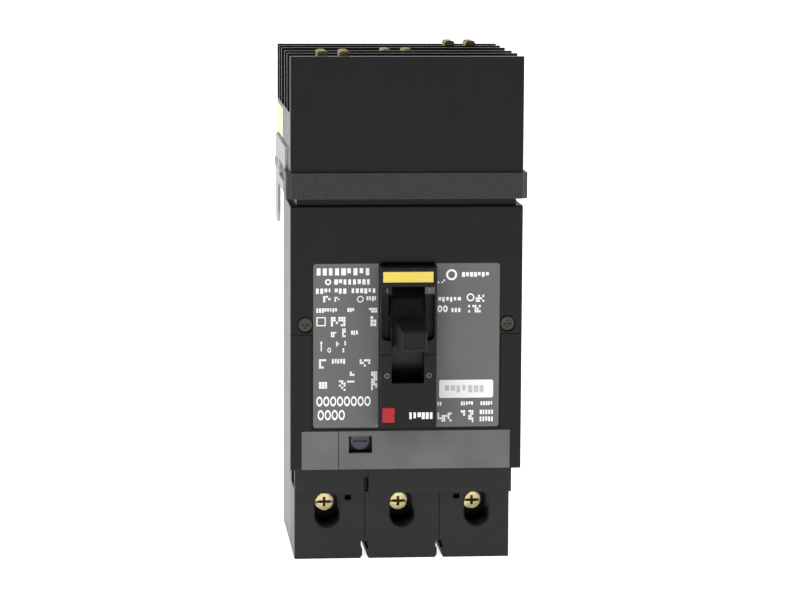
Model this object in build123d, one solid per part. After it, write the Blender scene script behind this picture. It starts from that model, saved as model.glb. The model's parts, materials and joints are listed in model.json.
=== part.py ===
from build123d import *

import math
import os

# Three-pole moulded case circuit breaker with a plug-on line end, as separate pieces.
#
# Every helper works in breaker coordinates: x across the poles, d forward from the rear
# face, h up from the load end. The pieces are exported with the origin at the centre of
# the rear face: +X across, +Z towards the line end, and the front of the breaker facing -Y.

# ---------------------------------------------------------------- driving dimensions, mm
HEIGHT = 231.0  # load end to line end
DEPTH = 111.0  # rear face to front face of the cover
COVER_W = 104.6
BASE_W = 98.8
POLE_PITCH = 34.4
WALL = 3.0
SPLIT_D = 62.0  # joint between the rear case and the front mouldings
EDGE_R = 0.7  # rounding of the case's outer edges
CLEARANCE = 0.2  # gap between mouldings that seat in each other
POLES = {"a": -1, "b": 0, "c": 1}

# load end
FOOT_FACE_D = 92.6  # front of the terminal shroud
BAND_D = 99.0  # front of its upper band
BAND_BOTTOM_H = 31.6
LOAD_TOP_H = 44.4
NOTCH_W, NOTCH_LOW, NOTCH_H = 3.3, 4.2, 7.9  # square part between the two heights
NOTCH_FOOT_W = (2.0, 4.0)  # width just under the square part, and at the foot
ACCESS_W, ACCESS_LOW, ACCESS_HIGH = 11.3, 14.7, 30.9
ENTRY_W = 21.0  # square cable entries in the foot

# terminals
LUG_W, LUG_BACK_D, LUG_FRONT_D = 22.0, 44.0, 69.0
LUG_LOW, LUG_HIGH = 10.0, 34.0
CABLE_R, CABLE_D = 8.5, 55.5
SCREW_R, SCREW_FIT = 4.0, 0.05
SCREW_FACE_D, SCREW_H = 72.0, 22.6
STRAP_T, STRAP_W = 3.5, 14.0

# main cover
COVER_LOW, COVER_HIGH = 44.6, 164.2
FACE_W = 85.0  # width of the label area of the accessory cover
SHOULDER_H = 106.3  # where the accessory cover widens to the full cover
PLATE_T = 4.8  # accessory cover thickness
FIXING_X, FIXING_H = 45.6, 111.0
FIXING_HEAD_R, FIXING_RECESS_R = 3.0, 3.9

# trip unit front
PANEL_W, PANEL_LOW, PANEL_HIGH = 94.4, 44.9, 62.3
PANEL_T, PANEL_SEAM_X = 2.4, -30.5
WINDOW_X, WINDOW_W, WINDOW_LOW, WINDOW_HIGH = -20.6, 10.6, 52.2, 60.0
DIAL_R, DIAL_X, DIAL_H = 4.2, -20.5, 57.4
DIAL_FACE_D = DEPTH - 4.4

# toggle column
COLUMN_D = DEPTH + 7.5  # front of the column
COLUMN_X = (-12.3, 13.0)
COLUMN_LOW, COLUMN_HIGH = 65.0, 137.6
SLOT_W, SLOT_LOW, SLOT_HIGH = 14.6, 85.1, 128.8
PIVOT_D, PIVOT_H = COLUMN_D - 44.0, 108.6
SHROUD_R, SHROUD_T, SHROUD_HALF_DEG = 41.0, 2.0, 52.0
RIB_H = (89.6, 90.1)  # a raised line across the lower shroud
PAD_R = 42.7  # raised part of the shroud round the foot of the lever
LEVER_TIP_D = COLUMN_D + 30.8
LEVER_BASE, LEVER_TIP = (13.8, 13.4), (11.2, 8.8)  # width, height
PIN_R = 2.0
BUTTON_X, BUTTON_H, BUTTON_W, BUTTON_TALL = -8.65, 70.9, 5.6, 6.8
BUTTON_PROUD = 0.9
STEM_X, STEM_W = -9.9, 2.6

# line end
COLLAR_LOW, COLLAR_HIGH, COLLAR_W = 167.5, 179.2, 108.4
SLOT_FLOOR_H = 205.5
LINE_SPLIT_D = 51.0
FIN_T = 2.6
FIN_FRONTS = (19.4, 38.5, 64.3, 85.2)
FRONT_FIN_T = 4.6
JAW_D = {"a": 95.8, "b": 50.1, "c": 9.95}
JAW_X = {"a": -32.5, "b": 0.0, "c": 33.5}
JAW_PAIR = 4.95
FINGER_W, FINGER_T = 4.7, 1.6
FINGER_TOP = {"a": 233.2, "b": 231.4, "c": 233.2}

# contacts
ARM_PIVOT_D, ARM_PIVOT_H = 34.0, 86.0
ARM_R, ARM_W, OPEN_DEG = 46.0, 7.0, 15.0
BAR_R = 8.5
CHUTE_LOW, CHUTE_HIGH = 134.5, 153.5
CHUTE_PLATES, CHUTE_PITCH = 8, 4.6
PARTITION_T = 3.0
CASE_SCREW_R = 1.9
TRIP_BAR_D, TRIP_BAR_H, TRIP_BAR_R = SPLIT_D - 6.0, 62.0, 2.6
REST_TILT = 5.0  # rearward tilt of the contact arms with the handle at its middle stop
CLOSED_TILT = REST_TILT + OPEN_DEG
ARM_T = 6.0
PAD_T, PAD_LOW = 1.5, 41.0

# front mouldings
FRONT_WALL = 9.0  # from the main cover's inner face to its front
COVER_INNER_D = DEPTH - FRONT_WALL
COVER_SEAT_D = DEPTH - PLATE_T  # where the accessory cover lies
LABEL_T = 0.25
LABEL_LEFT, LABEL_RIGHT = (-42.0, -12.6), (13.3, 42.0)
LABEL_LOW, LABEL_HIGH = 64.0, 138.4

# switching mechanism
FRAME_T, FRAME_GAP = 1.6, 1.5  # gap between a side plate and the wall of its chamber
FRAME_X = (POLE_PITCH - PARTITION_T) / 2 - FRAME_GAP - FRAME_T
YOKE_X, YOKE_T = FRAME_X - 3.0, 1.6
FRAME_BACK_D, FRAME_LOW, FRAME_HIGH = 46.0, 78.0, 120.0
FRAME_FOOT_LOW, FRAME_FOOT_W = 112.0, 4.8
CRADLE_PIN_D, CRADLE_PIN_H, CRADLE_PIN_R = 58.0, 92.0, 1.5
CRADLE_W = 11.0
SPRING_X, SPRING_COIL_R, SPRING_WIRE = 5.2, 2.2, 0.7

# line end conductors and brackets
LINE_D, LINE_T, LINE_RUN_H = 8.0, 3.5, 186.0
JAW_BASE_H = 197.0
FINGER_SHAPE = ((5.3, 199.0), (5.3, 208.0), (3.9, 220.5), (3.9, 224.5))
FLARE_D = 5.9
LEAF_SHAPE = ((6.4, 200.0), (6.4, 208.0), (5.0, 220.5))
BRACKET_D, BRACKET_T = (6.7, 89.0), 1.2
BRACKET_LEG_D = 30.0  # front edge of the leg that runs down behind the cover
BRACKET_LOW, BRACKET_HIGH = 148.4, 189.0
SIDE_SLOT_D, SIDE_SLOT_H = (38.0, 82.0), (172.0, 179.4)


# ---------------------------------------------------------------- helpers
def block(x, d, h):
    """A box from three (low, high) pairs in breaker coordinates."""
    size = (x[1] - x[0], d[1] - d[0], h[1] - h[0])
    middle = ((x[0] + x[1]) / 2, -(d[0] + d[1]) / 2, (h[0] + h[1]) / 2)
    return Pos(*middle) * Box(*size)


def wide(width, d, h, centre=0.0):
    """A box of that width, centred across the breaker or about another x."""
    return block((centre - width / 2, centre + width / 2), d, h)


def rod_x(d, h, radius, x):
    """A cylinder across the breaker."""
    return Pos((x[0] + x[1]) / 2, -d, h) * Rot(0, 90, 0) * Cylinder(radius, x[1] - x[0])


def rod_d(x, h, radius, d):
    """A cylinder from the rear towards the front."""
    return Pos(x, -(d[0] + d[1]) / 2, h) * Rot(90, 0, 0) * Cylinder(radius, d[1] - d[0])


def rod_h(x, d, radius, h):
    """An upright cylinder."""
    return Pos(x, -d, (h[0] + h[1]) / 2) * Cylinder(radius, h[1] - h[0])


def cut(solid, *tools):
    """The solid less each tool in turn."""
    for tool in tools:
        solid -= tool
    return solid


def joined(first, *others):
    """The union of pieces that meet, as one solid."""
    for other in others:
        first += other
    return first


def group(pieces):
    """Separate solids that share one node."""
    return Compound([solid for piece in pieces for solid in piece.solids()])


def turned(shape, d, h, degrees):
    """The shape tilted about a line across the breaker; positive tips the top to the rear."""
    return Pos(0, -d, h) * Rot(-degrees, 0, 0) * Pos(0, d, -h) * shape


def upright_edges(solid, low, high):
    """Edges along h within a height range."""
    return solid.edges().filter_by(Axis.Z).filter_by(lambda e: low <= e.center().Z <= high)


def pole_x(pole):
    return POLES[pole] * POLE_PITCH


def chamber_x(pole):
    """Clear (low, high) x of a pole chamber in the rear case."""
    half, side = (POLE_PITCH - PARTITION_T) / 2, POLES[pole]
    if side == 0:
        return -half, half
    inner, outer = POLE_PITCH - half, BASE_W / 2 - WALL
    return tuple(sorted((side * inner, side * outer)))


# ---------------------------------------------------------------- case and terminals
def notches(d):
    """The slots between poles: a square run with a flared opening down to the foot."""
    return [notch(x, d) for x in (-POLE_PITCH / 2, POLE_PITCH / 2)]


def notch(x, d):
    top, foot = NOTCH_FOOT_W[0] / 2, NOTCH_FOOT_W[1] / 2
    left = ((-top, NOTCH_LOW + 1), (-top, 1.6), (-foot, -0.1))
    right = ((foot, -0.1), (top, 1.6), (top, NOTCH_LOW + 1))
    outline = Polyline(*left, *right,
                       close=True)
    flare = Plane.XZ.offset(d[0]) * extrude(make_face(outline), d[1] - d[0])
    return Pos(x, 0, 0) * flare + wide(NOTCH_W, d, (NOTCH_LOW, NOTCH_H), centre=x)


def cable_entry(pole):
    """The square opening under a lug, through whatever floor is there."""
    d = (CABLE_D - ENTRY_W / 2, CABLE_D + ENTRY_W / 2)
    return wide(ENTRY_W, d, (-1, WALL + 1), centre=pole_x(pole))


def lug_room(pole, d):
    """The compartment round a lug, between two depths."""
    return wide(LUG_W + 2.6, d, (WALL, LOAD_TOP_H - WALL), centre=pole_x(pole))


def case_screw_places():
    """(x, h) of the long screws that pull the front mouldings onto the rear case."""
    sides = (-POLE_PITCH / 2, POLE_PITCH / 2)
    return [(x, h) for x in sides for h in (LOAD_TOP_H + 4.6, COVER_HIGH - 6.0)]


def case_screw_boss(x, h, d):
    return rod_d(x, h, CASE_SCREW_R + 2.2, d)


def trip_bar_way(d_high):
    """Room for the trip bar, open towards the front."""
    half = BASE_W / 2 - WALL
    r = TRIP_BAR_R + 0.1
    way = rod_x(TRIP_BAR_D, TRIP_BAR_H, r, (-half, half))
    return way + block((-half, half), (TRIP_BAR_D, d_high), (TRIP_BAR_H - r, TRIP_BAR_H + r))


def crossbar_way(d_high):
    """Room for the contact crossbar, open towards the front."""
    half = BASE_W / 2 - WALL
    r = BAR_R + 0.1
    way = rod_x(ARM_PIVOT_D, ARM_PIVOT_H, r, (-half, half))
    return way + block((-half, half), (ARM_PIVOT_D, d_high), (ARM_PIVOT_H - r, ARM_PIVOT_H + r))


def base_case():
    case = wide(BASE_W, (0, SPLIT_D), (0, COVER_HIGH))
    case = fillet(case.edges().group_by(Axis.Y)[-1], EDGE_R)
    for pole in POLES:
        contact_room = block(chamber_x(pole), (WALL, SPLIT_D + 1), (LOAD_TOP_H, COVER_HIGH - WALL))
        case = cut(case, contact_room, lug_room(pole, (WALL, SPLIT_D + 1)), cable_entry(pole))
    for x, h in case_screw_places():
        case = joined(case, case_screw_boss(x, h, (0, SPLIT_D)))
    for x in (-10.6, 10.6):
        case = joined(case, rod_d(x, 116.0, 2.8, (0, 46)))
    for pole in POLES:
        way_h = (LOAD_TOP_H - 4, LOAD_TOP_H + 1)
        load_way = wide(STRAP_W + 1, (LUG_BACK_D - 4, SPLIT_D + 1), way_h, centre=pole_x(pole))
        line_way = wide(STRAP_W + 1, (8, 16), (COVER_HIGH - WALL - 1, COVER_HIGH + 1), centre=pole_x(pole))
        case = cut(case, load_way, line_way)
    case = cut(case, crossbar_way(SPLIT_D + 1), trip_bar_way(SPLIT_D + 1), *notches((-1, SPLIT_D + 1)))
    for x, h in case_screw_places():
        case = cut(case, rod_d(x, h, CASE_SCREW_R, (-1, SPLIT_D + 1)))
    return case


def crossbar_keepers():
    """Two tongues that close the crossbar slots in the pole partitions."""
    h = (ARM_PIVOT_H - BAR_R + 0.1, ARM_PIVOT_H + BAR_R - 0.1)
    bar = rod_x(ARM_PIVOT_D, ARM_PIVOT_H, BAR_R + 0.1, (-BASE_W / 2, BASE_W / 2))
    sides = (-POLE_PITCH / 2, POLE_PITCH / 2)
    return group(cut(wide(PARTITION_T, (ARM_PIVOT_D, SPLIT_D), h, centre=x), bar) for x in sides)


def access_hole(pole, d):
    """The upright oval hole that a screwdriver goes through."""
    r, x = ACCESS_W / 2, pole_x(pole)
    middle = wide(ACCESS_W, d, (ACCESS_LOW + r, ACCESS_HIGH - r), centre=x)
    return middle + rod_d(x, ACCESS_LOW + r, r, d) + rod_d(x, ACCESS_HIGH - r, r, d)


def on_access_lip(point):
    """Whether a point lies on the front edge of an access hole."""
    near_pole = min(abs(point.X - pole_x(pole)) for pole in POLES) < ACCESS_W / 2 + 0.1
    in_face = abs(point.Y + FOOT_FACE_D) < 0.01
    return near_pole and in_face and ACCESS_LOW - 0.1 < point.Z < ACCESS_HIGH + 0.1


def terminal_cover():
    back = SPLIT_D + CLEARANCE
    cover = wide(BASE_W, (back, FOOT_FACE_D), (0, LOAD_TOP_H))
    cover = fillet(upright_edges(cover, 0, LOAD_TOP_H).group_by(Axis.Y)[0], 0.8)
    band = wide(BASE_W + 0.6, (back, BAND_D), (BAND_BOTTOM_H, LOAD_TOP_H))
    cover = joined(cover, fillet(upright_edges(band, 0, LOAD_TOP_H).group_by(Axis.Y)[0], 1.0))
    for side in (-1, 1):
        outer = BASE_W / 2 + 0.4
        cover = cut(cover, block(sorted((side * outer, side * (outer - 2.4))), (74, 96), (33.2, 43.0)))
    for pole in POLES:
        x = pole_x(pole)
        cover = cut(cover, lug_room(pole, (back - 1, LUG_FRONT_D + 0.4)), cable_entry(pole))
        cover = cut(cover, access_hole(pole, (SCREW_FACE_D - 0.4, BAND_D + 1)))
        cover = cut(cover, rod_d(x, SCREW_H, SCREW_R + 0.5, (back, SCREW_FACE_D)))
        cover = cut(cover, wide(24, (78, 88), (WALL, 12), centre=x), wide(24, (78, 94), (33.5, 41), centre=x))
        load_way = wide(STRAP_W + 1, (back - 1, SPLIT_D + 6), (LOAD_TOP_H - 4, LOAD_TOP_H + 1), centre=x)
        cover = cut(cover, load_way)
    for x in (-POLE_PITCH / 2, POLE_PITCH / 2):
        groove = wide(0.5, (FOOT_FACE_D - 0.6, FOOT_FACE_D + 1), (NOTCH_H, BAND_BOTTOM_H), centre=x)
        cover = cut(cover, groove)
    for x in (-24.9, 25.0):
        cover = cut(cover, wide(2.9, (FOOT_FACE_D - 6, FOOT_FACE_D + 0.1), (27.3, 29.8), centre=x))
    lips = cover.edges().filter_by(lambda e: on_access_lip(e.center()))
    cover = chamfer(lips, 0.6)
    seam = wide(0.5, (BAND_D - 0.6, BAND_D + 1), (BAND_BOTTOM_H, LOAD_TOP_H), centre=-16.2)
    slot = wide(2.1, (FOOT_FACE_D - 2, BAND_D + 1), (BAND_BOTTOM_H - 0.5, 38.9), centre=-17.0)
    return cut(cover, seam, slot, *notches((back - 1, BAND_D + 1)))


# ---------------------------------------------------------------- front mouldings


def t_outline(d, gap=0.0):
    """The T shape of the accessory cover between two depths; gap grows it."""
    upper = wide(COVER_W + 1, d, (SHOULDER_H - gap, COVER_HIGH + 1))
    return upper + wide(FACE_W + 2 * gap, d, (PANEL_HIGH + 0.9 - gap, COVER_HIGH))


def handle_sweep(radius, half_width):
    """The drum that the handle's curved shroud moves in."""
    return rod_x(PIVOT_D, PIVOT_H, radius, (-half_width, half_width))


def main_cover():
    back = SPLIT_D + CLEARANCE
    cover = wide(COVER_W, (back, DEPTH), (COVER_LOW, COVER_HIGH))
    cover = fillet(cover.edges().group_by(Axis.Y)[0], EDGE_R)
    for pole in POLES:
        chamber_h = (COVER_LOW + WALL, COVER_HIGH - WALL)
        cover = cut(cover, block(chamber_x(pole), (back - 1, COVER_INNER_D), chamber_h))
    for x, h in case_screw_places():
        cover = joined(cover, case_screw_boss(x, h, (back, COVER_SEAT_D - 0.5)))
        cover = cut(cover, rod_d(x, h, CASE_SCREW_R + 0.3, (back - 1, back + 26)))
    cover = cut(cover, t_outline((COVER_SEAT_D, DEPTH + 1), 0.15))
    cover = cut(cover, wide(19, (back - 1, COVER_SEAT_D + 1), (76, 142)), crossbar_room(back))
    for x in (-FIXING_X, FIXING_X):
        post = rod_d(x, FIXING_H, 2.9, (COVER_SEAT_D - 16, COVER_SEAT_D))
        cover = cut(joined(cover, post), rod_d(x, FIXING_H, 1.3, (COVER_SEAT_D - 14, DEPTH)))
    panel = wide(PANEL_W + 0.2, (DEPTH - PANEL_T - 0.1, DEPTH + 1), (COVER_LOW - 1, PANEL_HIGH + 0.1))
    window = wide(WINDOW_W, (DIAL_FACE_D - 1.8, DEPTH), (WINDOW_LOW, PANEL_HIGH), centre=WINDOW_X)
    dial_bore = rod_d(DIAL_X, DIAL_H, DIAL_R + 0.05, (COVER_INNER_D - 1, DEPTH))
    dial_room = rod_d(DIAL_X, DIAL_H, DIAL_R + 1.8, (COVER_INNER_D - 10, COVER_INNER_D))
    stem_bore = wide(STEM_W + 0.4, (back, DEPTH + 1), (BUTTON_H - 2.2, BUTTON_H + 2.2), centre=STEM_X)
    return cut(cover, panel, window, dial_bore, dial_room, stem_bore)


def crossbar_room(back):
    """Clears the partitions where the mechanism's links cross to the outer poles."""
    half = BASE_W / 2 - WALL
    return block((-half, half), (back - 1, back + 2), (ARM_PIVOT_H - 6, ARM_PIVOT_H + 6))


def accessory_cover():
    block_outline = wide(COVER_W, (0, DEPTH), (COVER_LOW, COVER_HIGH))
    block_outline = fillet(block_outline.edges().group_by(Axis.Y)[0], EDGE_R)
    plate = t_outline((COVER_SEAT_D + 0.1, DEPTH), -0.1) & block_outline
    column = block(COLUMN_X, (COVER_SEAT_D + 0.1, COLUMN_D), (COLUMN_LOW, COLUMN_HIGH))
    column = fillet(column.edges().group_by(Axis.Y)[0], 0.6)
    cover = joined(plate, column)
    cover = cut(cover, handle_sweep(PAD_R + 0.5, SLOT_W / 2 + 1.0))
    cover = cut(cover, wide(SLOT_W, (COVER_SEAT_D, COLUMN_D + 1), (SLOT_LOW, SLOT_HIGH)))
    for side in (-1, 1):
        cover = cut(cover, cheek_pocket(side))
    line = wide(30, (COLUMN_D - 0.7, COLUMN_D + 1), (97.8, 98.7))
    step = block((BUTTON_X, 14), (COLUMN_D - 0.25, COLUMN_D + 1), (COLUMN_LOW - 1, 74.3))
    recess_x = (COLUMN_X[0] + 0.6, COLUMN_X[1] - 0.6)
    recess = block(recess_x, (DEPTH - 3.5, DEPTH + 1), (COLUMN_HIGH, COLUMN_HIGH + 1.7))
    plate_seat = wide(22.7, (COLUMN_D - 0.3, COLUMN_D + 1), (130.7, 135.6))
    button = block((BUTTON_X - BUTTON_W / 2 - 0.1, BUTTON_X + BUTTON_W / 2 + 0.1), (COVER_SEAT_D - 1, COLUMN_D + 1),
                   (BUTTON_H - BUTTON_TALL / 2 - 0.1, BUTTON_H + BUTTON_TALL / 2 + 0.1))
    cover = cut(cover, line, step, recess, plate_seat, button)
    for x in (-FIXING_X, FIXING_X):
        hole = rod_d(x, FIXING_H, 1.7, (COVER_SEAT_D - 1, DEPTH + 1))
        cover = cut(cover, rod_d(x, FIXING_H, FIXING_RECESS_R, (DEPTH - 1.4, DEPTH + 1)), hole)
    for x in (LABEL_LEFT, LABEL_RIGHT):
        cover = cut(cover, block(x, (DEPTH - LABEL_T, DEPTH + 1), (LABEL_LOW, LABEL_HIGH)))
    return cover


def cheek_pocket(side):
    """A deep pocket beside the handle slot, open to it, with a rounded lower outer corner."""
    x = sorted((side * (SLOT_W / 2 - 1), side * 11.9))
    pocket = block(x, (COLUMN_D - 6, COLUMN_D + 1), (104.4, 125.2))
    lower = pocket.edges().filter_by(Axis.Y).group_by(Axis.Z)[0].sort_by(Axis.X)
    return fillet(lower[-1] if side > 0 else lower[0], 2.6)


def cover_label(x, outer):
    """A thin label flush with the cover; its outer corners are rounded."""
    label = block(x, (DEPTH - LABEL_T, DEPTH), (LABEL_LOW, LABEL_HIGH))
    corners = label.edges().filter_by(Axis.Y).group_by(Axis.X)[outer]
    return fillet(corners, 1.4)


def name_plate():
    return wide(22.5, (COLUMN_D - 0.3, COLUMN_D + 0.05), (130.8, 135.5))


def cover_screws():
    """Two pan-head screws with cross recesses that hold the accessory cover."""
    return group(cover_screw(x) for x in (-FIXING_X, FIXING_X))


def cover_screw(x):
    head = rod_d(x, FIXING_H, FIXING_HEAD_R, (DEPTH - 1.4, DEPTH + 0.2))
    screw = joined(head, rod_d(x, FIXING_H, 1.3, (COVER_SEAT_D - 12, DEPTH - 1.4)))
    return cut(screw, cross_recess(x, FIXING_H, 3.4, 0.9, (DEPTH - 0.8, DEPTH + 1)))


def cross_recess(x, h, span, width, d):
    """A cross-shaped drive recess."""
    across = wide(span, d, (h - width / 2, h + width / 2), centre=x)
    return across + wide(width, d, (h - span / 2, h + span / 2), centre=x)


def trip_panel(x):
    """One part of the grey front of the trip unit, with the dial window if it spans it."""
    panel = block(x, (DEPTH - PANEL_T, DEPTH - 0.1), (PANEL_LOW, PANEL_HIGH))
    window = wide(WINDOW_W, (0, DEPTH + 1), (WINDOW_LOW, WINDOW_HIGH), centre=WINDOW_X)
    return cut(panel, window)


def adjustment_dial():
    """A slotted dial for the instantaneous trip level, with a collar behind the wall."""
    dial = rod_d(DIAL_X, DIAL_H, DIAL_R, (COVER_INNER_D - 0.4, DIAL_FACE_D))
    dial = joined(dial, rod_d(DIAL_X, DIAL_H, DIAL_R + 1.4, (COVER_INNER_D - 2.4, COVER_INNER_D - 0.4)))
    dial = joined(dial, rod_d(DIAL_X, DIAL_H, 2.0, (COVER_INNER_D - 9, COVER_INNER_D - 2.4)))
    slot = wide(6.4, (DIAL_FACE_D - 1.0, DIAL_FACE_D + 1), (DIAL_H - 0.6, DIAL_H + 0.6), centre=DIAL_X)
    tail = wide(1.2, (DIAL_FACE_D - 1.0, DIAL_FACE_D + 1), (DIAL_H, DIAL_H + 3.2), centre=DIAL_X)
    return cut(dial, slot, tail)


def trip_button():
    """The push-to-trip button with its stem back to the trip bar."""
    x = (BUTTON_X - BUTTON_W / 2, BUTTON_X + BUTTON_W / 2)
    h = (BUTTON_H - BUTTON_TALL / 2, BUTTON_H + BUTTON_TALL / 2)
    cap = block(x, (DEPTH - 1.5, COLUMN_D + BUTTON_PROUD), h)
    cap = fillet(cap.edges().group_by(Axis.Y)[0], 0.5)
    stem_h = (BUTTON_H - 2.0, BUTTON_H + 2.0)
    return joined(cap, wide(STEM_W, (TRIP_BAR_D + 3.0, DEPTH - 1), stem_h, centre=STEM_X))


# ---------------------------------------------------------------- handle and mechanism
def toggle_handle():
    """The moulded lever on a curved shroud that closes the slot behind it."""
    inner = SHROUD_R - SHROUD_T
    half = SLOT_W / 2 + 0.6
    hollow = rod_x(PIVOT_D, PIVOT_H, inner, (-half - 1, half + 1))
    drum = cut(rod_x(PIVOT_D, PIVOT_H, SHROUD_R, (-half, half)), hollow)
    reach = PIVOT_D + SHROUD_R * math.cos(math.radians(SHROUD_HALF_DEG))
    shroud = drum & wide(2 * half, (reach, COLUMN_D + 9), (PIVOT_H - SHROUD_R, PIVOT_H + SHROUD_R))
    root_d = PIVOT_D + inner + 0.2
    foot = Pos(0, -root_d, PIVOT_H) * Rot(90, 0, 0) * Rectangle(*LEVER_BASE)
    tip = Pos(0, -LEVER_TIP_D, PIVOT_H) * Rot(90, 0, 0) * Rectangle(*LEVER_TIP)
    lever = loft([foot.face(), tip.face()])
    lever = fillet(lever.edges().group_by(Axis.Y)[0], 0.8)
    dish_half = LEVER_TIP[1] / 2 - 1.1
    dish_h = (PIVOT_H - dish_half, PIVOT_H + dish_half)
    dish = wide(LEVER_TIP[0] - 2.2, (LEVER_TIP_D - 0.35, LEVER_TIP_D + 1), dish_h)
    pad_h = (PIVOT_H - 9.6, PIVOT_H + 14.4)
    pad = handle_sweep(PAD_R, SLOT_W / 2 - 0.5) & wide(SLOT_W, (root_d, COLUMN_D), pad_h)
    rib = handle_sweep(SHROUD_R + 0.35, SLOT_W / 2 - 0.4) & wide(SLOT_W, (root_d - 10, COLUMN_D), RIB_H)
    tongue = wide(7.0, (PIVOT_D + 27, PIVOT_D + inner + 0.5), (PIVOT_H - 4.5, PIVOT_H + 4.5))
    return cut(joined(shroud, rib, pad, lever, tongue), dish)


def handle_yoke():
    """The steel yoke that carries the lever on two pins."""
    bridge = wide(2 * YOKE_X, (PIVOT_D + 25.2, PIVOT_D + 27), (PIVOT_H - 5, PIVOT_H + 5))
    yoke = bridge
    for side in (-1, 1):
        x = sorted((side * YOKE_X, side * (YOKE_X - YOKE_T)))
        cheek = block(x, (PIVOT_D - 1, PIVOT_D + 27), (PIVOT_H - 5, PIVOT_H + 5))
        cheek = joined(cheek, rod_x(PIVOT_D, PIVOT_H, 5, x))
        pin_x = sorted((side * (YOKE_X - 0.5), side * (FRAME_X + FRAME_T + 0.8)))
        pin = rod_x(PIVOT_D, PIVOT_H, PIN_R, pin_x)
        yoke = joined(yoke, cheek, pin)
    return yoke


def mechanism_frame(side):
    """One steel side plate of the switching mechanism."""
    x = sorted((side * FRAME_X, side * (FRAME_X + FRAME_T)))
    plate = block(x, (FRAME_BACK_D, PIVOT_D + 7), (FRAME_LOW, FRAME_HIGH))
    plate = chamfer(plate.edges().filter_by(Axis.X).group_by(Axis.Y)[0], 6.0)
    foot_x = sorted((side * FRAME_X, side * (FRAME_X - FRAME_FOOT_W)))
    foot = block(foot_x, (FRAME_BACK_D, FRAME_BACK_D + FRAME_T), (FRAME_FOOT_LOW, FRAME_HIGH))
    bore = rod_x(PIVOT_D, PIVOT_H, PIN_R + 0.05, (-30, 30))
    cradle_bore = rod_x(CRADLE_PIN_D, CRADLE_PIN_H, CRADLE_PIN_R, (-30, 30))
    return cut(joined(plate, foot), bore, cradle_bore)


def latch_cradle():
    """The latch cradle with its cross pin between the frames."""
    plate = wide(CRADLE_W, (CRADLE_PIN_D - 3, 78), (CRADLE_PIN_H - 3, CRADLE_PIN_H + 1))
    hook = wide(CRADLE_W, (75, 78), (CRADLE_PIN_H - 8, CRADLE_PIN_H + 1))
    pin = rod_x(CRADLE_PIN_D, CRADLE_PIN_H, CRADLE_PIN_R, (-FRAME_X - FRAME_T, FRAME_X + FRAME_T))
    return joined(plate, hook, pin)


def toggle_springs():
    """The pair of over-centre springs between the yoke and the toggle links."""
    foot, top = (64.0, 100.0), (PIVOT_D + 15.5, PIVOT_H - 2.1)
    return group(
        coil((x, *foot), (x, *top), SPRING_COIL_R, SPRING_WIRE, 9) for x in (-SPRING_X, SPRING_X)
    )


def coil(start, end, radius, wire, turns):
    """A helical spring between two points."""
    a = Vector(start[0], -start[1], start[2])
    b = Vector(end[0], -end[1], end[2])
    length = (b - a).length
    path = Helix(length / turns, length, radius)
    profile = Plane(origin=path @ 0, z_dir=path % 0) * Circle(wire / 2)
    spring = sweep(profile, path, is_frenet=True)
    return Plane(origin=a, z_dir=(b - a)).location * spring


# ---------------------------------------------------------------- contacts and arc chutes


def on_arm(d, h, pole, width, tilt):
    """A block set out from the arm pivot, tilted to the rear; d and h are offsets."""
    solid = wide(width, (ARM_PIVOT_D + d[0], ARM_PIVOT_D + d[1]), (ARM_PIVOT_H + h[0], ARM_PIVOT_H + h[1]),
                 centre=pole_x(pole))
    return turned(solid, ARM_PIVOT_D, ARM_PIVOT_H, tilt)


def contact_arm(pole):
    arm = on_arm((-ARM_T / 2, ARM_T / 2), (0, ARM_R), pole, ARM_W, REST_TILT)
    return chamfer(arm.edges().filter_by(Axis.X).group_by(Axis.Z)[-1], 2.0)


def contact_crossbar():
    """The insulating bar that carries all three contact arms."""
    half = BASE_W / 2 - WALL - 0.4
    bar = rod_x(ARM_PIVOT_D, ARM_PIVOT_H, BAR_R, (-half, half))
    return cut(bar, *[on_arm((-ARM_T / 2, ARM_T / 2), (0, ARM_R), pole, ARM_W, REST_TILT) for pole in POLES])


def moving_contacts():
    """Silver pads on the rear faces of the arms."""
    d = (-ARM_T / 2 - PAD_T, -ARM_T / 2)
    return group(on_arm(d, (PAD_LOW - 3, ARM_R - 3), pole, ARM_W - 1, REST_TILT) for pole in POLES)


def fixed_contacts():
    """Silver pads on the line conductors, parallel to the closed arms."""
    face = -ARM_T / 2 - PAD_T - 0.3
    pad_d, pad_h = (face - PAD_T, face), (PAD_LOW - 3, ARM_R - 3)
    return group(on_arm(pad_d, pad_h, pole, ARM_W - 1, CLOSED_TILT) for pole in POLES)


def line_conductor(pole):
    """The copper bar from a fixed contact up through the case to its jaw."""
    x, jaw_d = pole_x(pole), JAW_D[pole]
    bar = wide(STRAP_W, (LINE_D, LINE_D + LINE_T), (118, LINE_RUN_H + LINE_T), centre=x)
    seat = -ARM_T / 2 - 2 * PAD_T - 0.3
    bar = joined(bar, on_arm((seat - 4, seat), (PAD_LOW - 4, ARM_R - 2), pole, ARM_W, CLOSED_TILT))
    run_end = max(jaw_d + LINE_T / 2, LINE_D + LINE_T)
    run = wide(STRAP_W, (LINE_D, run_end), (LINE_RUN_H, LINE_RUN_H + LINE_T), centre=x)
    riser = wide(STRAP_W, (jaw_d - LINE_T / 2, jaw_d + LINE_T / 2), (LINE_RUN_H, JAW_BASE_H), centre=x)
    return joined(bar, run, riser)


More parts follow.
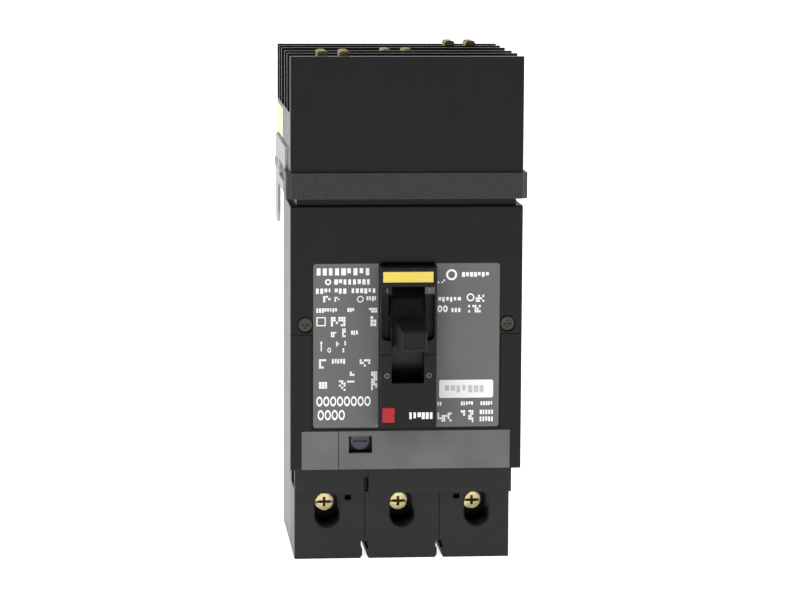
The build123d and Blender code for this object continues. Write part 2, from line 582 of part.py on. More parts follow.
def arc_chute(pole):
    """A stack of splitter plates between two fibre cheeks."""
    low, high = chamber_x(pole)
    cheek = 0.8
    pieces = []
    for i in range(CHUTE_PLATES):
        d = 19.0 + i * CHUTE_PITCH
        plate = block((low + cheek, high - cheek), (d, d + 1.2), (CHUTE_LOW, CHUTE_HIGH))
        throat = Pos(pole_x(pole), -d, CHUTE_LOW) * Rot(90, 0, 0) * Cylinder(5.0, 8)
        pieces.append(cut(plate, throat))
    stack = block((low, low + cheek), (17, 54), (CHUTE_LOW - 1, CHUTE_HIGH))
    stack = joined(stack, block((high - cheek, high), (17, 54), (CHUTE_LOW - 1, CHUTE_HIGH)))
    return joined(stack, *pieces)


# ---------------------------------------------------------------- trip unit and terminals
def load_strap(pole):
    """The copper strap from a lug up past the bimetal to the flexible lead."""
    x = pole_x(pole)
    strap = wide(STRAP_W, (LUG_BACK_D - STRAP_T, LUG_BACK_D), (LUG_LOW + 2, 66), centre=x)
    shelf = wide(STRAP_W, (20, LUG_BACK_D), (66 - STRAP_T, 66), centre=x)
    return joined(strap, shelf)


def flexible_leads():
    """Short braided leads rising from the load straps to just under the crossbar."""
    return group(flexible_lead(pole) for pole in POLES)


def flexible_lead(pole):
    lead = wide(8, (20.5, 27), (66, 78.5), centre=pole_x(pole))
    return fillet(lead.edges().filter_by(Axis.X).group_by(Axis.Z)[-1], 3.0)


def bimetal(pole):
    return wide(8, (LUG_BACK_D, LUG_BACK_D + 1.2), (50, 73), centre=pole_x(pole))


def magnet_yokes():
    """Steel U pieces round the load straps that work the instantaneous trip."""
    return group(magnet_yoke(pole) for pole in POLES)


def magnet_yoke(pole):
    x = pole_x(pole)
    back = LUG_BACK_D - STRAP_T
    yoke = wide(20, (back - 2.5, back + 9), (53, 61), centre=x)
    return cut(yoke, wide(15.6, (back, back + 10), (52, 62), centre=x))


def trip_bar():
    """The common trip bar with a finger for each pole and one for the button."""
    half = BASE_W / 2 - WALL - 0.4
    bar = rod_x(TRIP_BAR_D, TRIP_BAR_H, TRIP_BAR_R, (-half, half))
    for x in [pole_x(pole) for pole in POLES] + [STEM_X]:
        finger_d, finger_h = (TRIP_BAR_D - 1.4, TRIP_BAR_D + 2.4), (TRIP_BAR_H, TRIP_BAR_H + 11)
        bar = joined(bar, wide(3.0, finger_d, finger_h, centre=x))
    return bar


def lug(pole):
    """A box lug with a cable hole from the foot and a clamp screw hole from the front."""
    x = pole_x(pole)
    body = wide(LUG_W, (LUG_BACK_D, LUG_FRONT_D), (LUG_LOW, LUG_HIGH), centre=x)
    body = fillet(upright_edges(body, LUG_LOW, LUG_HIGH), 1.2)
    cable = rod_h(x, CABLE_D, CABLE_R, (LUG_LOW - 1, LUG_HIGH + 1))
    return cut(body, cable, rod_d(x, SCREW_H, SCREW_R + SCREW_FIT, (CABLE_D, LUG_FRONT_D + 1)))


def lug_screw(pole):
    """A clamp screw with a combined slot and cross recess."""
    x = pole_x(pole)
    screw = rod_d(x, SCREW_H, SCREW_R, (CABLE_D + CABLE_R + 0.2, SCREW_FACE_D))
    screw = chamfer(screw.edges().group_by(Axis.Y)[-1], 0.8)
    screw = cut(screw, cross_recess(x, SCREW_H, 4.4, 1.3, (SCREW_FACE_D - 2.2, SCREW_FACE_D + 1)))
    return cut(screw, wide(9, (SCREW_FACE_D - 1.2, SCREW_FACE_D + 1), (SCREW_H - 0.6, SCREW_H + 0.6), centre=x))


def case_screws():
    """Long screws from the rear into the front mouldings."""
    return group(case_screw(x, h) for x, h in case_screw_places())


def case_screw(x, h):
    return rod_d(x, h, CASE_SCREW_R - 0.1, (0.6, SPLIT_D + 24))


# ---------------------------------------------------------------- plug-on line end


def comb(housing, fins, back, front):
    """Cuts the slots between full-width fins into the top of a housing."""
    edges = [back] + fins + [front]
    for low, high in zip(edges[0::2], edges[1::2]):
        housing = cut(housing, wide(COVER_W + 2, (low, high), (SLOT_FLOOR_H, HEIGHT + 1)))
    return housing


def line_interior(pole, d):
    low, high = chamber_x(pole)
    grow = (COVER_W - BASE_W) / 2
    low, high = (low - grow * (POLES[pole] < 0), high + grow * (POLES[pole] > 0))
    return block((low, high), d, (COLLAR_LOW + 0.5, SLOT_FLOOR_H - WALL))


def jaw_window(pole):
    half = JAW_PAIR + 1.7
    return wide(20, (JAW_D[pole] - half, JAW_D[pole] + half), (SLOT_FLOOR_H - WALL - 1, SLOT_FLOOR_H + 1),
                centre=JAW_X[pole])


def line_rear_housing():
    f1, f2 = FIN_FRONTS[0], FIN_FRONTS[1]
    housing = wide(COVER_W, (0, LINE_SPLIT_D), (COLLAR_LOW, HEIGHT))
    housing = fillet(upright_edges(housing, COLLAR_LOW, HEIGHT).group_by(Axis.Y)[-1], EDGE_R)
    housing = joined(housing, wide(BASE_W, (0, LINE_SPLIT_D), (COVER_HIGH + 0.1, COLLAR_LOW)))
    for pole in POLES:
        way = wide(STRAP_W + 1, (7.5, 16), (COVER_HIGH - 1, COLLAR_LOW + 1), centre=pole_x(pole))
        housing = cut(housing, line_interior(pole, (WALL, LINE_SPLIT_D + 1)), way, jaw_window(pole))
    return comb(housing, [f1 - FIN_T, f1, f2 - FIN_T, f2], WALL, LINE_SPLIT_D + 1)


def line_front_housing():
    f3, f4 = FIN_FRONTS[2], FIN_FRONTS[3]
    back, front = LINE_SPLIT_D + CLEARANCE, DEPTH - FRONT_FIN_T
    housing = wide(COVER_W, (back, DEPTH), (COLLAR_LOW, HEIGHT))
    housing = fillet(upright_edges(housing, COLLAR_LOW, HEIGHT).group_by(Axis.Y)[0], 0.8)
    housing = joined(housing, wide(BASE_W, (back, DEPTH - 3), (COVER_HIGH + 0.1, COLLAR_LOW)))
    for pole in POLES:
        housing = cut(housing, line_interior(pole, (back - 1, front)), jaw_window(pole))
    for x in (-28.2, 1.5, 30.1):
        line_h = (COLLAR_HIGH + 0.2, HEIGHT - 0.6)
        housing = joined(housing, wide(0.3, (DEPTH - 0.5, DEPTH + 0.1), line_h, centre=x))
    return comb(housing, [f3 - FIN_T, f3, f4 - FIN_T, f4], back - 1, front)


def collar():
    """The band round the front and sides of the line end."""
    band = wide(COLLAR_W, (BRACKET_D[1] + 1, DEPTH + 1.8), (COLLAR_LOW, COLLAR_HIGH))
    band = chamfer(upright_edges(band, COLLAR_LOW, COLLAR_HIGH).group_by(Axis.Y)[0], 2.6)
    return cut(band, wide(COVER_W, (0, DEPTH), (COLLAR_LOW - 1, COLLAR_HIGH + 1)))


def side_bracket(side):
    """The steel hanger on one side of the line end, with a long slot and two rivets."""
    x = sorted((side * COVER_W / 2, side * (COVER_W / 2 + BRACKET_T)))
    plate = block(x, BRACKET_D, (COLLAR_LOW, BRACKET_HIGH))
    plate = joined(plate, block(x, (BRACKET_D[0], BRACKET_LEG_D), (BRACKET_LOW, COLLAR_LOW)))
    plate = fillet(plate.edges().filter_by(Axis.X).group_by(Axis.Z)[0], 6.0)
    slot = block((x[0] - 1, x[1] + 1), SIDE_SLOT_D, SIDE_SLOT_H)
    plate = cut(plate, fillet(slot.edges().filter_by(Axis.X), 3.4))
    rivet_x = sorted((side * COVER_W / 2, side * (COVER_W / 2 + 2.0)))
    for d in (14.0, 26.0):
        plate = joined(plate, rod_x(d, 176.0, 2.2, rivet_x))
    return plate


def side_label():
    """A pale label on the left side above the hanger."""
    return block((-COVER_W / 2 - 0.1, -COVER_W / 2), (2, 50), (190.0, 203.5))


def strip(points, thickness, x):
    """A bent strip across x, from centre-line points given as (d, h)."""
    half = thickness / 2
    outline = [(-d - half, h) for d, h in points] + [(-d + half, h) for d, h in reversed(points)]
    face = make_face(Polyline(*[(y, h, 0) for y, h in outline], close=True))
    return Plane.YZ.offset(x[0]) * extrude(face, x[1] - x[0])


def finger_line(centre, side, offsets):
    return [(centre + side * d, h) for d, h in offsets]


def jaw(pole):
    """Four spring fingers on a copper base that grip a bus bar."""
    x, d = JAW_X[pole], JAW_D[pole]
    body = wide(2 * JAW_PAIR + FINGER_W, (d - 4.5, d + 4.5), (JAW_BASE_H, 205.0), centre=x)
    shape = FINGER_SHAPE + ((FLARE_D, FINGER_TOP[pole]),)
    for offset in (-JAW_PAIR, JAW_PAIR):
        for side in (-1, 1):
            at = (x + offset - FINGER_W / 2, x + offset + FINGER_W / 2)
            finger = strip(finger_line(d, side, shape), FINGER_T, at)
            tips = finger.edges().filter_by(Axis.Y).group_by(Axis.Z)[-1]
            body = joined(body, fillet(tips, 1.4))
    return body


def jaw_springs(pole):
    """Leaf springs that press the fingers of one jaw together."""
    x, d = JAW_X[pole], JAW_D[pole]
    leaves = []
    for offset in (-JAW_PAIR, JAW_PAIR):
        for side in (-1, 1):
            at = (x + offset - FINGER_W / 2 + 0.5, x + offset + FINGER_W / 2 - 0.5)
            leaves.append(strip(finger_line(d, side, LEAF_SHAPE), 0.5, at))
    return group(leaves)


def trip_spring():
    """The return spring behind the button."""
    return coil((STEM_X, 64.0, BUTTON_H), (STEM_X, 82.0, BUTTON_H), 3.2, 0.6, 6)


# ---------------------------------------------------------------- export
def parts():
    nodes = {
        "base_case": base_case(),
        "crossbar_keepers": crossbar_keepers(),
        "terminal_cover": terminal_cover(),
        "main_cover": main_cover(),
        "accessory_cover": accessory_cover(),
        "label_left": cover_label(LABEL_LEFT, 0),
        "label_right": cover_label(LABEL_RIGHT, -1),
        "name_plate": name_plate(),
        "cover_screws": cover_screws(),
        "case_screws": case_screws(),
        "trip_panel_wide": trip_panel((PANEL_SEAM_X + 0.15, PANEL_W / 2)),
        "trip_panel_narrow": trip_panel((-PANEL_W / 2, PANEL_SEAM_X - 0.15)),
        "adjustment_dial": adjustment_dial(),
        "trip_button": trip_button(),
        "toggle_handle": toggle_handle(),
        "handle_yoke": handle_yoke(),
        "mechanism_frame_left": mechanism_frame(-1),
        "mechanism_frame_right": mechanism_frame(1),
        "latch_cradle": latch_cradle(),
        "toggle_springs": toggle_springs(),
        "contact_crossbar": contact_crossbar(),
        "moving_contacts": moving_contacts(),
        "fixed_contacts": fixed_contacts(),
        "flexible_leads": flexible_leads(),
        "magnet_yokes": magnet_yokes(),
        "trip_bar": trip_bar(),
        "line_rear_housing": line_rear_housing(),
        "line_front_housing": line_front_housing(),
        "collar": collar(),
        "side_bracket_left": side_bracket(-1),
        "side_bracket_right": side_bracket(1),
        "side_label": side_label(),
        "trip_spring": trip_spring(),
    }
    per_pole = {
        "line_conductor": line_conductor,
        "jaw": jaw,
        "jaw_springs": jaw_springs,
        "contact_arm": contact_arm,
        "arc_chute": arc_chute,
        "load_strap": load_strap,
        "bimetal": bimetal,
        "lug": lug,
        "lug_screw": lug_screw,
    }
    for name, make in per_pole.items():
        for pole in POLES:
            nodes[f"{name}_{pole}"] = make(pole)
    return nodes


def main():
    os.makedirs("parts", exist_ok=True)
    for name, shape in parts().items():
        export_step(Pos(0, 0, -HEIGHT / 2) * shape, f"parts/{name}.step")


main()
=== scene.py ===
"""Looks for the moulded case circuit breaker: camera, studio, materials and printed detail.

Sizes are in metres. X runs across the poles, Y from the front to the rear, and Z up
towards the line end. Places are worked out from the CAD nodes wherever they can be.
"""

import json
import math
import random

import bmesh
import bpy
from mathutils import Matrix, Vector


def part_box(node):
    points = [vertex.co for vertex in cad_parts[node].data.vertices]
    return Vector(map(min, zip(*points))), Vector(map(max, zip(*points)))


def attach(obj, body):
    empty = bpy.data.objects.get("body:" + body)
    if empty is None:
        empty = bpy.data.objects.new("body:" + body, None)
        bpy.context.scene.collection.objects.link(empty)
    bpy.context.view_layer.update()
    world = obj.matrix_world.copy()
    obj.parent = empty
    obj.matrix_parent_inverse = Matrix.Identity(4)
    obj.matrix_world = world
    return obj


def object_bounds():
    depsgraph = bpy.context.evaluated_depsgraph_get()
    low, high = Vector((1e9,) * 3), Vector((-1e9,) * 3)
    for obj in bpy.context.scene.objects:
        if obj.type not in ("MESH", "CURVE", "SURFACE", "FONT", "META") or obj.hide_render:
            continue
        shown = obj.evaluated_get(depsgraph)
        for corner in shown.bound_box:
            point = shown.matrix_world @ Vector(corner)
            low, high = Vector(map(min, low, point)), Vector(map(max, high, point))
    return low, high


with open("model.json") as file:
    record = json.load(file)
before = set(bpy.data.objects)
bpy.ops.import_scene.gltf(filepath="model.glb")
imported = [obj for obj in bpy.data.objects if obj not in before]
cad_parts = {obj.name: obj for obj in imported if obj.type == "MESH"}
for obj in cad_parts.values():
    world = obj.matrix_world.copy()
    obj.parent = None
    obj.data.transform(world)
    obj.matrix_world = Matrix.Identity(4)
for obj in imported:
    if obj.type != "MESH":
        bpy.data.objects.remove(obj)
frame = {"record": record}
size_at_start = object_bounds()

MM = 0.001
HALF_HEIGHT = -size_at_start[0][2] / MM  # mm from the foot of the case up to the origin
random.seed(7)


# ---------------------------------------------------------------- camera
CAMERA_AT = Vector((-0.1322, -1.5339, 0.1957))
CAMERA_AIM = Vector((0.0, -0.111, 0.0))
CAMERA_ROLL_DEG = 0.29
LENS_MM = 144.5
LENS_SHIFT = (-0.0083, 0.0176)


def make_camera():
    data = bpy.data.cameras.new("camera")
    data.lens = LENS_MM
    data.sensor_width = 36.0
    data.shift_x, data.shift_y = LENS_SHIFT
    data.clip_end = 50.0
    camera = bpy.data.objects.new("camera", data)
    back = (CAMERA_AT - CAMERA_AIM).normalized()
    right = Vector((0, 0, 1)).cross(back).normalized()
    up = back.cross(right)
    roll = math.radians(CAMERA_ROLL_DEG)
    tilted_right = right * math.cos(roll) + up * math.sin(roll)
    tilted_up = up * math.cos(roll) - right * math.sin(roll)
    turn = Matrix((tilted_right, tilted_up, back)).transposed().to_4x4()
    camera.matrix_world = Matrix.Translation(CAMERA_AT) @ turn
    bpy.context.scene.collection.objects.link(camera)
    bpy.context.scene.camera = camera


# ---------------------------------------------------------------- studio
FLOOR_Z = size_at_start[0][2]


def make_floor():
    mesh = bpy.data.meshes.new("floor")
    reach = 12.0
    corners = [(x * reach, y * reach, FLOOR_Z) for x, y in ((-1, -1), (1, -1), (1, 1), (-1, 1))]
    mesh.from_pydata(corners, [], [(0, 1, 2, 3)])
    floor = bpy.data.objects.new("floor", mesh)
    bpy.context.scene.collection.objects.link(floor)
    paper = plain_material("floor_paper", (0.80, 0.80, 0.80), 0.9)
    shader = paper.node_tree.nodes["Principled BSDF"]
    shader.inputs["Emission Color"].default_value = (1, 1, 1, 1)
    shader.inputs["Emission Strength"].default_value = 0.9
    mesh.materials.append(paper)


def area_light(name, at, aim, size, power):
    data = bpy.data.lights.new(name, "AREA")
    data.shape = "RECTANGLE"
    data.size, data.size_y = size
    data.energy = power
    light = bpy.data.objects.new(name, data)
    direction = (Vector(aim) - Vector(at)).normalized()
    light.matrix_world = Matrix.Translation(at) @ direction.to_track_quat("-Z", "Y").to_matrix().to_4x4()
    bpy.context.scene.collection.objects.link(light)


def make_world():
    """A white room, dimmer on the viewer's side so that the glossy front stays dark."""
    world = bpy.data.worlds.new("studio")
    bpy.context.scene.world = world
    world.use_nodes = True
    nodes, links = world.node_tree.nodes, world.node_tree.links
    background = nodes["Background"]
    place = nodes.new("ShaderNodeTexCoord")
    split = nodes.new("ShaderNodeSeparateXYZ")
    ramp = nodes.new("ShaderNodeValToRGB")
    links.new(place.outputs["Generated"], split.inputs[0])
    shift = nodes.new("ShaderNodeMath")
    shift.operation = "MULTIPLY_ADD"
    shift.inputs[1].default_value = 0.5
    shift.inputs[2].default_value = 0.5
    links.new(split.outputs["Y"], shift.inputs[0])
    links.new(shift.outputs[0], ramp.inputs[0])
    ramp.color_ramp.elements[0].position = 0.1
    ramp.color_ramp.elements[0].color = (0.05, 0.05, 0.05, 1)
    ramp.color_ramp.elements[1].position = 0.55
    ramp.color_ramp.elements[1].color = (1, 1, 1, 1)
    links.new(ramp.outputs["Color"], background.inputs["Color"])
    background.inputs["Strength"].default_value = 1.15
    bpy.context.scene.view_settings.view_transform = "Standard"


def make_studio():
    make_floor()
    make_world()
    area_light("key", (-1.2, -1.6, 1.8), (0, 0, 0), (1.2, 1.2), 30)
    area_light("fill", (1.6, -1.4, 0.9), (0, 0, 0), (1.0, 1.6), 12)


# ---------------------------------------------------------------- materials
def plain_material(name, colour, roughness):
    material = bpy.data.materials.new(name)
    material.use_nodes = True
    shader = material.node_tree.nodes["Principled BSDF"]
    shader.inputs["Base Color"].default_value = (*colour, 1)
    shader.inputs["Roughness"].default_value = roughness
    return material


def noise(tree, scale, detail=2.0):
    """Noise in object space; scale is in features per metre."""
    nodes, links = tree.nodes, tree.links
    place = nodes.new("ShaderNodeTexCoord")
    texture = nodes.new("ShaderNodeTexNoise")
    texture.inputs["Scale"].default_value = scale
    texture.inputs["Detail"].default_value = detail
    links.new(place.outputs["Object"], texture.inputs["Vector"])
    return texture.outputs["Fac"]


def ramp_between(tree, factor, low, high, first, second):
    ramp = tree.nodes.new("ShaderNodeValToRGB")
    ramp.color_ramp.elements[0].position = low
    ramp.color_ramp.elements[0].color = (*first, 1)
    ramp.color_ramp.elements[1].position = high
    ramp.color_ramp.elements[1].color = (*second, 1)
    tree.links.new(factor, ramp.inputs[0])
    return ramp.outputs["Color"]


def remap(tree, factor, low, high):
    node = tree.nodes.new("ShaderNodeMapRange")
    node.inputs["To Min"].default_value = low
    node.inputs["To Max"].default_value = high
    tree.links.new(factor, node.inputs["Value"])
    return node.outputs["Result"]


def bump(tree, factor, depth, strength):
    node = tree.nodes.new("ShaderNodeBump")
    node.inputs["Distance"].default_value = depth
    node.inputs["Strength"].default_value = strength
    tree.links.new(factor, node.inputs["Height"])
    return node.outputs["Normal"]


def scaled(colour, factor):
    return tuple(min(1.0, c * factor) for c in colour)


def moulded(name, colour, roughness, grain=2600, grain_depth=0.00004, mottle=0.12, gloss=0.5):
    """Moulded plastic: faint mottle in the colour, uneven gloss and spark-eroded grain."""
    material = plain_material(name, colour, roughness)
    tree = material.node_tree
    shader = tree.nodes["Principled BSDF"]
    shader.inputs["Specular IOR Level"].default_value = gloss
    broad = noise(tree, 60, 4.0)
    tint = ramp_between(tree, broad, 0.3, 0.7, scaled(colour, 1 - mottle), scaled(colour, 1 + mottle))
    tree.links.new(tint, shader.inputs["Base Color"])
    gloss_map = remap(tree, noise(tree, 140), roughness - 0.05, roughness + 0.05)
    tree.links.new(gloss_map, shader.inputs["Roughness"])
    tree.links.new(bump(tree, noise(tree, grain, 3.0), grain_depth, 0.35), shader.inputs["Normal"])
    return material


def speckled(name, colour, fleck, roughness):
    """Glass-filled plastic with pale flecks."""
    material = moulded(name, colour, roughness, 1500, 0.00006, gloss=0.3)
    tree = material.node_tree
    shader = tree.nodes["Principled BSDF"]
    flecks = ramp_between(tree, noise(tree, 1400, 4.0), 0.5, 0.68, colour, fleck)
    tree.links.new(flecks, shader.inputs["Base Color"])
    return material


def metal(name, colour, roughness, scratch=900, stretch=(1, 1, 1), tarnish=0.2, edge=1.0):
    """Metal with fine streaks and a little uneven tarnish; edge dulls it at a grazing angle."""
    material = plain_material(name, colour, roughness)
    tree = material.node_tree
    shader = tree.nodes["Principled BSDF"]
    shader.inputs["Metallic"].default_value = 1.0
    shader.inputs["Specular Tint"].default_value = (edge, edge, edge, 1)
    place = tree.nodes.new("ShaderNodeTexCoord")
    mapping = tree.nodes.new("ShaderNodeMapping")
    mapping.inputs["Scale"].default_value = stretch
    streak = tree.nodes.new("ShaderNodeTexNoise")
    streak.inputs["Scale"].default_value = scratch
    streak.inputs["Detail"].default_value = 3.0
    tree.links.new(place.outputs["Object"], mapping.inputs["Vector"])
    tree.links.new(mapping.outputs["Vector"], streak.inputs["Vector"])
    dull, bright = scaled(colour, 1 - tarnish), scaled(colour, 1.08)
    tint = ramp_between(tree, noise(tree, 220, 3.0), 0.35, 0.7, dull, bright)
    tree.links.new(tint, shader.inputs["Base Color"])
    gloss_map = remap(tree, streak.outputs["Fac"], roughness - 0.08, roughness + 0.12)
    tree.links.new(gloss_map, shader.inputs["Roughness"])
    tree.links.new(bump(tree, streak.outputs["Fac"], 0.00003, 0.3), shader.inputs["Normal"])
    return material


def printed(name, colour, roughness):
    """Printed film with a slight orange peel."""
    return moulded(name, colour, roughness, 900, 0.00002, 0.04)


def make_materials():
    return {
        "black_moulding": moulded("black_moulding", (0.0045, 0.0045, 0.0047), 0.36, gloss=0.2),
        "charcoal_moulding": moulded("charcoal_moulding", (0.012, 0.012, 0.0125), 0.42, gloss=0.25),
        "collar_moulding": speckled("collar_moulding", (0.017, 0.0175, 0.0175), (0.034, 0.035, 0.035), 0.48),
        "grey_panel": moulded("grey_panel", (0.105, 0.105, 0.107), 0.45, gloss=0.35),
        "grey_label": printed("grey_label", (0.098, 0.098, 0.100), 0.5),
        "yellow_plate": printed("yellow_plate", (0.70, 0.54, 0.085), 0.45),
        "pale_label": printed("pale_label", (0.80, 0.74, 0.48), 0.75),
        "red_button": moulded("red_button", (0.34, 0.012, 0.016), 0.4, 1500, 0.00002, 0.06, 0.3),
        "dial_plastic": moulded("dial_plastic", (0.045, 0.052, 0.085), 0.35),
        "bar_plastic": moulded("bar_plastic", (0.10, 0.045, 0.03), 0.5),
        "zinc_steel": metal("zinc_steel", (0.55, 0.55, 0.54), 0.42, edge=0.55),
        "spring_steel": metal("spring_steel", (0.45, 0.45, 0.47), 0.28),
        "black_screw": metal("black_screw", (0.06, 0.052, 0.045), 0.3),
        "gold_brass": metal("gold_brass", (0.95, 0.80, 0.40), 0.32),
        # very dark brass, laid on the clamp screws' recess faces as painted shade
        "dark_brass_painted_shade": metal("dark_brass_painted_shade", (0.10, 0.06, 0.015), 0.4),
        "copper": metal("copper", (0.80, 0.42, 0.26), 0.3),
        "silver_pad": metal("silver_pad", (0.85, 0.84, 0.80), 0.3),
        "lug_aluminium": metal("lug_aluminium", (0.70, 0.71, 0.72), 0.36),
        "fibre_chute": metal("fibre_chute", (0.40, 0.39, 0.38), 0.45),
        "print_white": printed("print_white", (0.80, 0.80, 0.80), 0.55),
        "print_grey": printed("print_grey", (0.16, 0.16, 0.16), 0.55),
        "paper": printed("paper", (0.74, 0.74, 0.73), 0.6),
        "faded_print": printed("faded_print", (0.45, 0.45, 0.43), 0.6),
        "mark_plate": printed("mark_plate", (0.06, 0.06, 0.06), 0.5),
    }


def dress_nodes(materials):
    """Gives every CAD node the finish of its material slot."""
    for part in frame["record"]["subparts"]:
        node = bpy.data.objects.get(part["node"])
        node.data.materials.clear()
        node.data.materials.append(materials[part["material_slot"]])


RECESS_REACH = 3.05 * MM  # from the screw's axis to the ends of its cross
RECESS_DEPTH = (0.05 * MM, 3.0 * MM)  # behind the head's face


def darken_recess(name, painted_recess_shade):
    """Painted shade in a clamp screw's recess: the faces just behind its head get a darker brass."""
    node = bpy.data.objects[name]
    node.data.materials.append(painted_recess_shade)
    low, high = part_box(name)
    middle_x, middle_z = (low[0] + high[0]) / 2, (low[2] + high[2]) / 2
    for face in node.data.polygons:
        centre = node.matrix_world @ face.center
        behind = centre.y - low[1]
        off_axis = math.hypot(centre.x - middle_x, centre.z - middle_z)
        if RECESS_DEPTH[0] < behind < RECESS_DEPTH[1] and off_axis < RECESS_REACH:
            face.material_index = 1


# ---------------------------------------------------------------- printed marks
INK = 0.05  # mm that a printed mark stands off its film


def ink_outline(bm, points, face_d):
    """A thin plate with the outline given as (x, h) in mm, lying on a face at depth face_d."""
    back = [bm.verts.new((x * MM, -face_d * MM, (h - HALF_HEIGHT) * MM)) for x, h in points]
    front = [bm.verts.new((x * MM, -(face_d + INK) * MM, (h - HALF_HEIGHT) * MM)) for x, h in points]
    bm.faces.new(front)
    bm.faces.new(list(reversed(back)))
    count = len(points)
    for i in range(count):
        j = (i + 1) % count
        bm.faces.new((back[i], back[j], front[j], front[i]))


def ink_block(bm, x, h, face_d):
    ink_outline(bm, [(x[0], h[0]), (x[1], h[0]), (x[1], h[1]), (x[0], h[1])], face_d)


def ink_ring(bm, centre, radius, stroke, face_d, squeeze=1.0):
    """A ring of short blocks; squeeze below 1 makes it a tall oval."""
    count = 24
    for i in range(count):
        a, b = 2 * math.pi * i / count, 2 * math.pi * (i + 1) / count
        rim = [(radius, a), (radius, b), (radius - stroke, b), (radius - stroke, a)]
        points = [(centre[0] + squeeze * r * math.sin(q), centre[1] + r * math.cos(q)) for r, q in rim]
        ink_outline(bm, list(reversed(points)), face_d)


def ink_word(bm, x, h, face_d, pitch=1.5):
    """A line of letter-sized blocks with no meaning, filling the stretch x."""
    at = x[0]
    while at < x[1] - 0.4:
        width = pitch * random.uniform(0.55, 0.8)
        low = h[0] + (h[1] - h[0]) * random.choice((0.0, 0.0, 0.12, 0.3))
        ink_block(bm, (at, min(at + width, x[1])), (low, h[1]), face_d)
        at += pitch


def ink_cells(bm, x, h, face_d, columns, rows):
    """A small random grid of squares, like a diagram too small to read."""
    step_x, step_h = (x[1] - x[0]) / columns, (h[1] - h[0]) / rows
    for i in range(columns):
        for j in range(rows):
            if random.random() < 0.62:
                low = (x[0] + i * step_x, h[0] + j * step_h)
                ink_block(bm, (low[0], low[0] + 0.86 * step_x), (low[1], low[1] + 0.86 * step_h), face_d)


def ink_zeros(bm, x, h, face_d, count):
    """A row of plain zeros, a stand-in for a rating."""
    pitch = (x[1] - x[0]) / count
    middle, radius = (h[0] + h[1]) / 2, (h[1] - h[0]) / 2
    for i in range(count):
        centre = (x[0] + (i + 0.45) * pitch, middle)
        ink_ring(bm, centre, radius, 0.95, face_d, 0.9 * pitch / 2 / radius)


def ink_frame(bm, x, h, stroke, face_d):
    """A hollow square."""
    ink_block(bm, x, (h[0], h[0] + stroke), face_d)
    ink_block(bm, x, (h[1] - stroke, h[1]), face_d)
    ink_block(bm, (x[0], x[0] + stroke), (h[0] + stroke, h[1] - stroke), face_d)
    ink_block(bm, (x[1] - stroke, x[1]), (h[0] + stroke, h[1] - stroke), face_d)


def ink_arrow(bm, x, h, width, face_d):
    """An upright arrow."""
    neck = h[1] - width
    ink_block(bm, (x - 0.25, x + 0.25), (h[0], neck), face_d)
    ink_outline(bm, [(x - width / 2, neck), (x + width / 2, neck), (x, h[1])], face_d)


def print_piece(name, draw, material):
    """A printed piece that rides with the case; draw adds its marks to a bmesh."""
    bm = bmesh.new()
    draw(bm)
    mesh = bpy.data.meshes.new(name)
    bm.to_mesh(mesh)
    bm.free()
    mesh.materials.append(material)
    piece = bpy.data.objects.new(name, mesh)
    bpy.context.scene.collection.objects.link(piece)
    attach(piece, "case")
    return piece


def face_depth(node):
    """The depth in mm of a node's front face."""
    return -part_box(node)[0][1] / MM


def draw_left_label(bm):
    d = face_depth("label_left")
    ink_word(bm, (-40.5, -15.5), (133.2, 136.4), d, 2.75)
    ink_ring(bm, (-35.4, 130.2), 1.4, 0.7, d)
    ink_word(bm, (-32.6, -16.0), (129.0, 131.4), d, 2.1)
    for x in ((-40.8, -34.4), (-32.4, -26.6), (-24.8, -13.8)):
        ink_word(bm, x, (124.9, 127.3), d, 1.9)
    ink_cells(bm, (-37.6, -34.1), (121.1, 124.1), d, 3, 3)
    ink_cells(bm, (-32.5, -30.2), (121.3, 123.6), d, 3, 3)
    ink_ring(bm, (-20.9, 122.4), 1.5, 0.45, d)
    ink_word(bm, (-18.1, -13.1), (121.2, 123.7), d, 1.2)
    ink_word(bm, (-40.6, -31.4), (116.3, 118.4), d, 1.2)
    ink_word(bm, (-26.7, -23.0), (116.4, 118.5), d, 1.1)
    ink_cells(bm, (-17.0, -13.2), (116.3, 118.6), d, 4, 2)
    ink_frame(bm, (-40.6, -36.4), (110.3, 114.4), 0.5, d)
    ink_cells(bm, (-34.1, -27.4), (110.2, 114.6), d, 6, 4)
    ink_cells(bm, (-16.3, -13.5), (110.2, 114.9), d, 2, 3)
    ink_cells(bm, (-34.1, -31.5), (105.3, 107.8), d, 3, 3)
    ink_cells(bm, (-29.0, -27.3), (105.3, 109.3), d, 2, 4)
    ink_word(bm, (-25.0, -21.9), (106.2, 108.2), d, 1.1)
    ink_arrow(bm, -38.4, (98.9, 103.7), 1.3, d)
    ink_ring(bm, (-34.8, 99.4), 1.15, 0.5, d, 0.75)
    ink_cells(bm, (-32.5, -30.3), (101.1, 103.4), d, 3, 3)
    ink_cells(bm, (-28.8, -27.2), (98.3, 103.7), d, 2, 5)
    ink_cells(bm, (-39.4, -36.1), (91.1, 95.5), d, 3, 4)
    ink_word(bm, (-33.6, -27.2), (93.2, 95.4), d, 1.25)
    ink_cells(bm, (-21.1, -16.2), (91.8, 95.3), d, 5, 3)
    ink_cells(bm, (-39.4, -35.6), (80.9, 85.1), d, 3, 4)
    ink_cells(bm, (-30.4, -27.3), (80.9, 85.8), d, 3, 5)
    ink_cells(bm, (-26.7, -23.3), (84.6, 89.7), d, 3, 5)
    ink_cells(bm, (-15.9, -13.1), (81.1, 89.7), d, 3, 8)
    ink_zeros(bm, (-40.6, -15.8), (73.8, 78.4), d, 8)
    ink_zeros(bm, (-40.0, -27.4), (67.5, 72.2), d, 4)


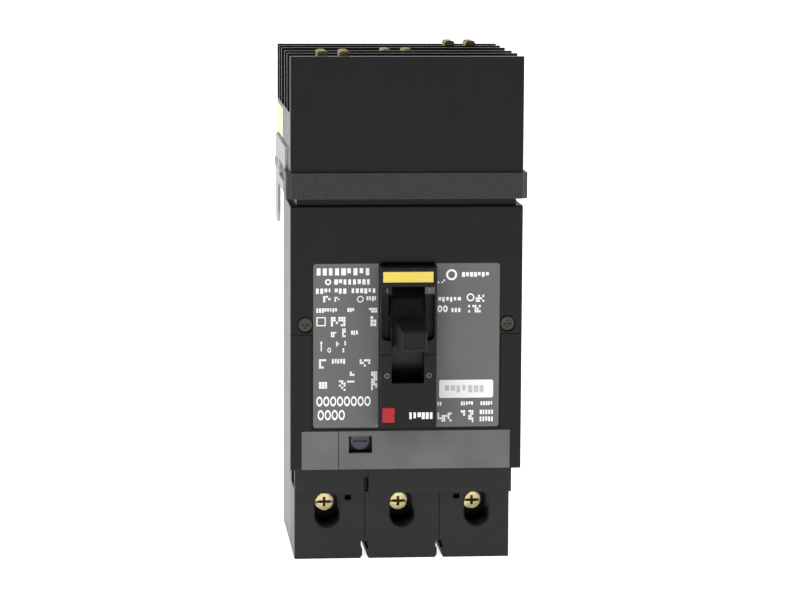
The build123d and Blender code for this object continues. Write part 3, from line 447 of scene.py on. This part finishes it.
def draw_right_label(bm):
    d = face_depth("label_right")
    ink_ring(bm, (20.2, 133.2), 2.5, 0.9, d)
    ink_word(bm, (24.9, 37.8), (132.2, 134.3), d, 1.8)
    ink_cells(bm, (13.9, 17.3), (129.4, 131.2), d, 4, 2)
    ink_word(bm, (14.3, 24.8), (120.9, 123.1), d, 1.75)
    ink_zeros(bm, (13.9, 18.8), (116.2, 119.4), d, 2)
    ink_word(bm, (20.2, 24.8), (116.2, 118.1), d, 1.5)
    ink_ring(bm, (28.8, 122.9), 1.8, 0.6, d)
    ink_cells(bm, (31.2, 35.2), (120.8, 124.2), d, 4, 3)
    ink_cells(bm, (27.8, 33.6), (116.0, 119.6), d, 6, 3)
    ink_word(bm, (14.2, 16.2), (73.7, 75.4), d, 1.0)
    ink_word(bm, (24.8, 30.6), (73.7, 75.5), d, 1.15)
    ink_word(bm, (33.7, 39.4), (73.7, 75.5), d, 1.15)
    ink_cells(bm, (14.2, 20.7), (66.4, 70.6), d, 7, 4)
    ink_cells(bm, (24.8, 26.9), (66.2, 71.7), d, 2, 4)
    ink_cells(bm, (28.2, 30.6), (66.0, 71.7), d, 3, 5)
    ink_word(bm, (33.4, 39.4), (69.6, 71.6), d, 1.3)
    ink_word(bm, (33.4, 39.4), (66.3, 68.5), d, 1.3)


def draw_sticker(bm):
    """A paper sticker with rounded corners."""
    d = face_depth("label_right")
    x, h, r = (14.9, 39.4), (77.2, 85.4), 0.8
    corners = (
        (x[1] - r, h[1] - r, 0),
        (x[0] + r, h[1] - r, 90),
        (x[0] + r, h[0] + r, 180),
        (x[1] - r, h[0] + r, 270),
    )
    points = []
    for cx, ch, start in corners:
        for step in range(5):
            angle = math.radians(start + 22.5 * step)
            points.append((cx + r * math.cos(angle), ch + r * math.sin(angle)))
    ink_outline(bm, points, d)


def draw_sticker_print(bm):
    d = face_depth("label_right") + INK
    ink_word(bm, (17.6, 35.0), (79.6, 82.9), d, 2.6)


def draw_column_print(bm):
    d = face_depth("accessory_cover")
    ink_word(bm, (0.8, 11.2), (68.9, 71.9), d - 0.25, 1.85)


def draw_position_marks(bm):
    """The I and O marks beside the handle slot."""
    d = face_depth("accessory_cover")
    for x in (-9.4, 9.6):
        ink_ring(bm, (x, 88.6), 1.1, 0.35, d)
        ink_block(bm, (x - 0.2, x + 0.2), (126.1, 128.1), d + INK)


def draw_on_plate(bm):
    ink_block(bm, (7.6, 11.9), (125.6, 128.6), face_depth("accessory_cover"))


def make_prints(materials):
    white, grey = materials["print_white"], materials["print_grey"]
    print_piece("print_label_left", draw_left_label, white)
    print_piece("print_label_right", draw_right_label, white)
    print_piece("paper_sticker", draw_sticker, materials["paper"])
    print_piece("print_sticker", draw_sticker_print, materials["faded_print"])
    print_piece("print_column", draw_column_print, white)
    print_piece("on_mark_plate", draw_on_plate, materials["mark_plate"])
    print_piece("print_positions", draw_position_marks, grey)


make_camera()
materials = make_materials()
make_studio()
dress_nodes(materials)
# painted shade: dark brass on the faces inside each clamp screw's recess
for screw_name in ("lug_screw_a", "lug_screw_b", "lug_screw_c"):
    darken_recess(screw_name, materials["dark_brass_painted_shade"])
make_prints(materials)
